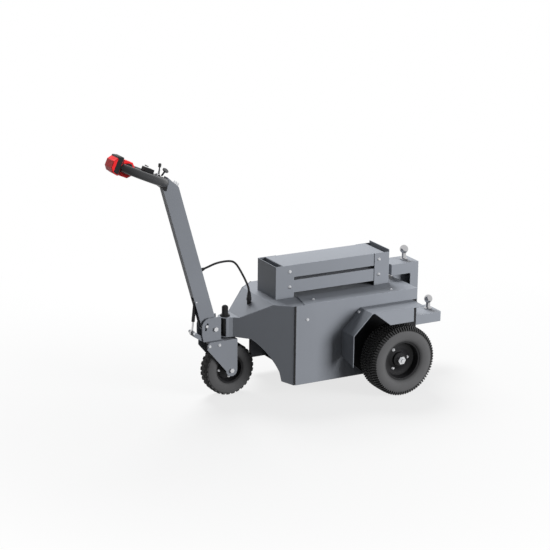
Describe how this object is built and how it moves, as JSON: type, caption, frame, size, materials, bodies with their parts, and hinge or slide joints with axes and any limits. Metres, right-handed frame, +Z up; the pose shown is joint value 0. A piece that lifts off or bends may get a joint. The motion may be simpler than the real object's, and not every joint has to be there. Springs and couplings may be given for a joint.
{
  "type": "walk-behind electric tow tug",
  "caption": "Pedestrian electric tow tug with tiller steering, drive wheels under angular fenders, steel ballast slabs and high and low tow balls on a welded grey body.",
  "frame": {"origin": "centre of the bounding box, on the floor", "axes": "+X forward to the tiller, +Y to the left, +Z up"},
  "size_m": [2.076, 0.9734, 1.4255],
  "materials": {
    "body_paint": "satin",
    "black_paint": "satin",
    "tyre": "matte",
    "zinc": "bright zinc",
    "chrome": "polished",
    "red_plastic": "gloss",
    "black_plastic": "fine grain",
    "grip": "semi-gloss",
    "cable": "matte",
    "mass_block": "plain"
  },
  "bodies": {
    "chassis": {"arch_liner_left": "black_paint", "arch_liner_right": "black_paint", "ballast_bracket_front": "body_paint", "ballast_bracket_rear": "body_paint", "ballast_slab_lower": "body_paint", "ballast_slab_upper": "body_paint", "battery_block": "mass_block", "belly_plate": "black_paint", "cable_gland": "black_plastic", "cable_lower": "cable", "deck": "body_paint", "drive_unit": "mass_block", "fender_left": "body_paint", "fender_right": "body_paint", "hitch_plate": "body_paint", "hitch_post": "body_paint", "hood": "body_paint", "neck": "body_paint", "nose_plate_left": "body_paint", "nose_plate_right": "body_paint", "rear_axle_tube": "black_paint", "rear_wall": "body_paint", "side_panel_left": "body_paint", "side_panel_right": "body_paint", "steering_head_tube": "black_paint", "tow_ball_lower": "chrome", "tow_ball_upper": "chrome"},
    "steer": {"fork": "body_paint", "kingpin": "black_paint", "front_axle": "zinc", "tiller_bracket": "body_paint", "spring_foot_pin": "zinc"},
    "tiller": {"tiller_arm": "body_paint", "tilt_pivot_bolt": "zinc", "tilt_slot_bolt": "zinc", "spring_head_pin": "zinc", "head_core": "black_plastic", "belly_button": "red_plastic", "head_cover": "red_plastic", "grip_loop": "grip", "console": "black_plastic", "key_switch": "zinc", "cable_upper": "cable"},
    "spring_cylinder": {"gas_spring_cylinder": "black_paint"},
    "spring_rod": {"gas_spring_rod": "chrome"},
    "front_wheel": {"front_tyre": "tyre", "front_rim": "black_paint"},
    "rear_wheel_left": {"rear_tyre_left": "tyre", "rear_rim_left": "black_paint", "half_shaft_left": "zinc"},
    "rear_wheel_right": {"rear_tyre_right": "tyre", "rear_rim_right": "black_paint", "half_shaft_right": "zinc"}
  },
  "joints": [
    {"name": "steering", "type": "hinge", "parent": "chassis", "child": "steer", "pos_m": [0.345, 0, 0.344], "axis": [0, 0, 1], "range_deg": [-70, 70], "deforming": ["cable_lower"]},
    {"name": "tiller_tilt", "type": "hinge", "parent": "steer", "child": "tiller", "pos_m": [0.42, 0, 0.4], "axis": [0, 1, 0], "range_deg": [-12, 22], "deforming": ["cable_upper"]},
    {"name": "spring_swing", "type": "hinge", "parent": "tiller", "child": "spring_cylinder", "pos_m": [0.53, 0, 0.565], "axis": [0, 1, 0], "range_deg": [-2.76, 1.96]},
    {"name": "spring_stroke", "type": "slide", "parent": "spring_cylinder", "child": "spring_rod", "axis": [0.1017, 0, -0.9948], "range_m": [-0.0498, 0.0276]},
    {"name": "front_wheel_spin", "type": "hinge", "parent": "steer", "child": "front_wheel", "pos_m": [0.331, 0, 0.152], "axis": [0, 1, 0], "continuous": true},
    {"name": "rear_wheel_left_spin", "type": "hinge", "parent": "chassis", "child": "rear_wheel_left", "pos_m": [-0.531, 0.41, 0.203], "axis": [0, 1, 0], "continuous": true},
    {"name": "rear_wheel_right_spin", "type": "hinge", "parent": "chassis", "child": "rear_wheel_right", "pos_m": [-0.531, -0.41, 0.203], "axis": [0, 1, 0], "continuous": true}
  ],
  "couplings": [
    {"joint": "spring_swing", "follows": "tiller_tilt", "ratio": -0.08},
    {"joint": "spring_stroke", "follows": "tiller_tilt", "m_per_rad": -0.1272}
  ]
}
